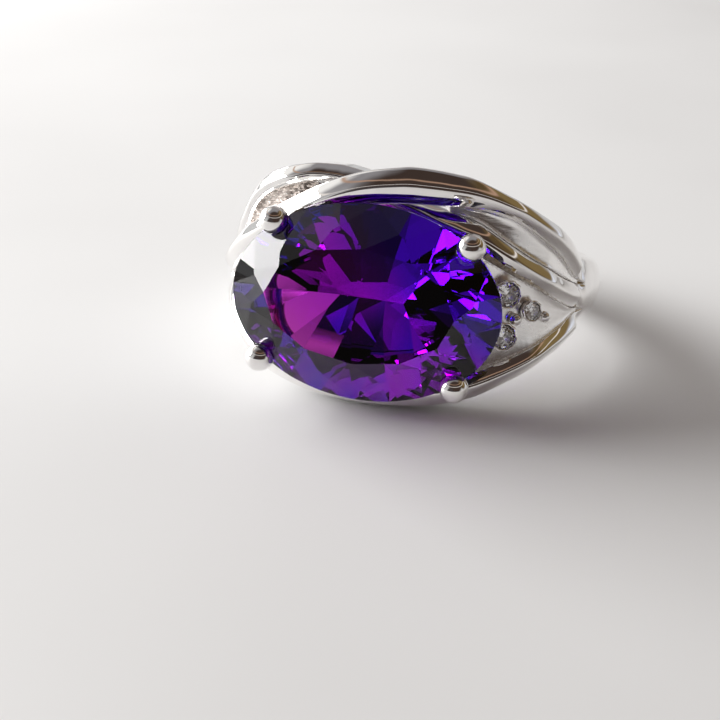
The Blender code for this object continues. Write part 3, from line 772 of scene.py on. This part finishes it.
def make_rail():
    """Oval wire under the pavilion that ties the four claws together."""
    turns = np.linspace(0, TAU, 121)[:-1]
    path = in_stone(RAIL_LENGTH / 2 * np.cos(turns), RAIL_WIDTH / 2 * np.sin(turns), -RAIL_DEPTH + 0 * turns)
    sides = np.linspace(0, TAU, 25)[:-1]
    outward = in_stone(np.cos(turns) / RAIL_LENGTH, np.sin(turns) / RAIL_WIDTH, 0 * turns)
    outward -= in_stone(0 * turns, 0 * turns, 0 * turns)
    outward /= np.linalg.norm(outward, axis=1, keepdims=True)
    wire = outward[:, None] * np.cos(sides)[:, None] + np.array([0, 1.0, 0]) * np.sin(sides)[:, None]
    mesh = grid_mesh("base_rail_silver", path[:, None] + RAIL_RADIUS * wire, ring=True, capped=False)
    place_piece("base_rail_silver", mesh, "polished_silver", "base_rail")


make_rail()
for claw, side, level in (("upper_left", -1, 1), ("upper_right", 1, 1), ("lower_left", -1, -1),
                          ("lower_right", 1, -1)):
    make_claw(claw + "_claw_silver", side, level, claw + "_claw")


# --------------------------------------------------------------------------------------------------
# Trefoils: collets, small brilliants and beads stand where the CAD nodes' boxes are

COLLET_PROFILE = [(0.40, 0.0), (0.66, 0.0), (0.70, 0.1), (0.77, 0.42), (0.79, 0.58), (0.775, 0.63),
                  (0.72, 0.655), (0.665, 0.63), (0.645, 0.58), (0.64, 0.45), (0.4, 0.15)]
COLLET_HEIGHT = 0.6
SIDE_STONE_HEIGHT = 0.67
SIDE_STONE_RADIUS = 0.62
SIDE_CROWN_HEIGHT = 0.2
SIDE_GIRDLE_THICK = 0.05
SIDE_CROWN_INSET = 0.25
SIDE_PAVILION_DEPTH = 0.42
SIDE_BLANK_TOP = 0.5
SIDE_BLANK_BOTTOM = -0.6
SIDE_MAINS = 8
SCALLOPS = 10
SCALLOP_DEPTH = 0.035
BEAD_NECK_SHARE = 0.8


def seat_of(node):
    """Foot of a CAD node's middle line in the ring frame, the directions across, along and out from the
    finger there, and the node's lowest and highest distance from the finger axis."""
    shape = frame["nodes"][node].data
    points = np.empty(len(shape.vertices) * 3)
    shape.vertices.foreach_get("co", points)
    ring = in_ring(points.reshape(-1, 3))
    middle = (ring.min(0) + ring.max(0)) / 2
    outward = np.array([middle[0], middle[1], 0.0])
    outward /= np.linalg.norm(outward)
    along_finger = np.array([0.0, 0.0, 1.0])
    across = np.cross(along_finger, outward)
    heights = ring @ outward
    return middle - outward * (middle @ outward), across, along_finger, outward, heights.min(), heights.max()


def lathed(name, seat, profile, sides, scallops=0, depth=0.0, ring=True):
    """Profile of (radius, height) turned round the seat's outward axis. Scallops push the radius in and out
    that many times a turn, by a share that grows with height. A profile that isn't a ring starts and ends
    on the axis."""
    middle, across, along_finger, outward, low, _ = seat
    radius, height = np.array(profile, float).T
    turns = np.linspace(0, TAU, sides + 1)[:-1]
    rise = np.clip(height, 0, None)[:, None] / max(height.max(), 1e-6)
    spread = radius[:, None] * (1 + depth * np.cos(scallops * turns)[None] * rise)
    grid = (middle + across * (spread * np.cos(turns))[..., None]
            + along_finger * (spread * np.sin(turns))[..., None] + outward * (low + height)[:, None, None])
    return grid_mesh(name, grid, ring=ring, capped=False)


def make_bead(name, node):
    """Ball on a short neck, closed at both poles."""
    seat = seat_of(node)
    radius = (seat[5] - seat[4]) / (1 + BEAD_NECK_SHARE)
    neck = BEAD_NECK_SHARE * radius
    turn = np.linspace(-0.5, math.pi / 2, 14)
    profile = [(0.0, 0.0), (radius * 0.86, 0.0)]
    profile += [(max(radius * math.cos(t), 0.0), neck + radius * math.sin(t)) for t in turn]
    place_piece(name, lathed(name, seat, profile, 28, ring=False), "polished_silver", node)


def make_side_stone(name, node):
    """Small round brilliant, cut like the centre stone but with eight mains, at the size of its CAD
    node."""
    middle, across, along_finger, outward, low, high = seat_of(node)
    size = (high - low) / SIDE_STONE_HEIGHT
    width = 2 * SIDE_STONE_RADIUS
    planes = brilliant_planes(width, width, SIDE_GIRDLE_THICK, SIDE_CROWN_HEIGHT, SIDE_CROWN_INSET,
                              SIDE_PAVILION_DEPTH, SIDE_MAINS)
    table = SIDE_GIRDLE_THICK / 2 + SIDE_CROWN_HEIGHT

    def place(points):
        return (middle + points[:, :1] * size * across + points[:, 1:2] * size * along_finger
                + ((points[:, 2:3] - table) * size + high) * outward)

    mesh = cut_stone(name, (width, width, SIDE_BLANK_TOP, SIDE_BLANK_BOTTOM), planes, 64, place)
    place_piece(name, mesh, "clear_stone", node)


for hand in ("left", "right"):
    for spot in ("upper", "lower", "outer"):
        collet = f"{hand}_collet_{spot}"
        seat = seat_of(collet)
        size = (seat[5] - seat[4]) / COLLET_HEIGHT
        profile = [(radius * size, height * size) for radius, height in COLLET_PROFILE]
        mesh = lathed(collet + "_silver", seat, profile, 72, SCALLOPS, SCALLOP_DEPTH)
        place_piece(collet + "_silver", mesh, "polished_silver", collet)
        make_side_stone(f"{hand}_side_stone_{spot}_cut", f"{hand}_side_stone_{spot}")
    for spot in ("centre", "tip"):
        make_bead(f"{hand}_{spot}_bead_silver", f"{hand}_{spot}_bead")


# --------------------------------------------------------------------------------------------------
# Floor, light and camera


def make_floor():
    """Pale stone surface, faintly glossy, that fades evenly to the horizon."""
    reach = 2.0
    mesh = bpy.data.meshes.new("floor")
    mesh.from_pydata([(-reach, -reach, 0), (reach, -reach, 0), (reach, reach, 0), (-reach, reach, 0)], [],
                     [(0, 1, 2, 3)])
    floor = bpy.data.objects.new("floor", mesh)
    bpy.context.scene.collection.objects.link(floor)

    def stone(tree):
        cloud = tree.noise(14.0, 3.0, 0.5)
        return {
            "Base Color": tree.mix(cloud.ramp(0.35, 0.75), (0.82, 0.822, 0.825), (0.74, 0.738, 0.74)),
            "Roughness": 0.55,
            "Specular IOR Level": 0.2,
        }

    mesh.materials.append(surface_material("pale_stone", stone))


def make_world():
    """Soft studio surroundings by direction: mid grey low down all round and dimmer overhead, bright at the
    upper left, dark in front and above, warm brown at the right with one cool glint, and a copper and a
    pale band by height."""
    world = bpy.data.worlds.new("studio")
    bpy.context.scene.world = world
    tree = Tree(world)
    way = tree.add("ShaderNodeTexCoord", output=0)

    def lobe(direction, start, end):
        """0 away from a direction, 1 near it, by the cosine between them."""
        towards = Vector(direction).normalized()
        settings = {"operation": "DOT_PRODUCT"}
        dot = tree.add("ShaderNodeVectorMath", settings, {0: way, 1: tuple(towards)}, output=1)
        return dot.ramp(start, end)

    def band(height, low, high):
        """1 between two heights on the unit sphere, with soft edges."""
        return height.ramp(low - 0.02, low + 0.02) * (1.0 - height.ramp(high - 0.02, high + 0.02))

    up = tree.add("ShaderNodeSeparateXYZ", None, {"Vector": way}, output=2)
    colour = tree.mix(up.ramp(0.0, 0.8), (0.62, 0.62, 0.62), (0.27, 0.26, 0.27))
    lobes = {
        "bright upper left": ((-0.75, 0.25, 0.6), 0.80, 0.95, (0.98, 0.97, 0.95)),
        "dark above the front": ((0.35, -0.70, 0.6), 0.58, 0.80, (0.05, 0.034, 0.028)),
        "dark in front": ((-0.23, -0.97, 0.05), 0.90, 0.97, (0.06, 0.05, 0.05)),
        "cool glint": ((0.85, 0.7, 0.25), 0.95, 0.995, (0.80, 0.85, 0.98)),
        "brown at the right": ((0.80, 0.2, 0.56), 0.80, 0.93, (0.10, 0.066, 0.03)),
        "light brown behind it": ((0.72, 0.5, 0.50), 0.88, 0.96, (0.20, 0.14, 0.06)),
    }
    for direction, start, end, tint in lobes.values():
        colour = tree.mix(lobe(direction, start, end), colour, tint)
    bands = {"copper": (0.74, 0.77, (0.46, 0.29, 0.20)), "pale": (0.50, 0.54, (0.85, 0.80, 0.76))}
    for low, high, tint in bands.values():
        colour = tree.mix(band(up, low, high), colour, tint)
    light = tree.add("ShaderNodeBackground", None, {"Color": colour, "Strength": 1.0})
    tree.add("ShaderNodeOutputWorld", None, {"Surface": light})


def make_softbox(name, way, distance, size, radiance, colour):
    """Rectangular lamp a distance away in a direction, facing the ring and hidden from direct view."""
    lamp = bpy.data.lights.new(name, "AREA")
    lamp.shape = "RECTANGLE"
    lamp.size, lamp.size_y = size
    lamp.energy = radiance * math.pi * size[0] * size[1]
    lamp.color = colour
    box = bpy.data.objects.new(name, lamp)
    bpy.context.scene.collection.objects.link(box)
    way = Vector(way).normalized()
    box.location = way * distance
    box.rotation_euler = (-way).to_track_quat("-Z", "Y").to_euler()
    box.visible_camera = False


def make_camera():
    """Camera a little right of the stone and above it, with a slight roll."""
    place = Vector((0.019456, -0.087013, 0.036849))
    aim = Vector((0.000083, -0.011356, 0.003298))
    roll = math.radians(1.42)
    back = (place - aim).normalized()
    level = Vector((0, 0, 1)).cross(back).normalized()
    above = back.cross(level)
    right = level * math.cos(roll) + above * math.sin(roll)
    rotation = Matrix((right, back.cross(right), back)).transposed()
    lens = bpy.data.cameras.new("camera")
    lens.sensor_width = 36.0
    lens.lens = 84.277
    lens.clip_start = 0.001
    camera = bpy.data.objects.new("camera", lens)
    bpy.context.scene.collection.objects.link(camera)
    camera.matrix_world = Matrix.Translation(place) @ rotation.to_4x4()
    bpy.context.scene.camera = camera


make_floor()
make_world()
make_softbox("window", (-0.92, 0.12, 0.36), 0.35, (0.42, 0.16), 13.0, (1.0, 1.0, 0.99))
make_camera()
bpy.context.scene.view_settings.view_transform = "Standard"
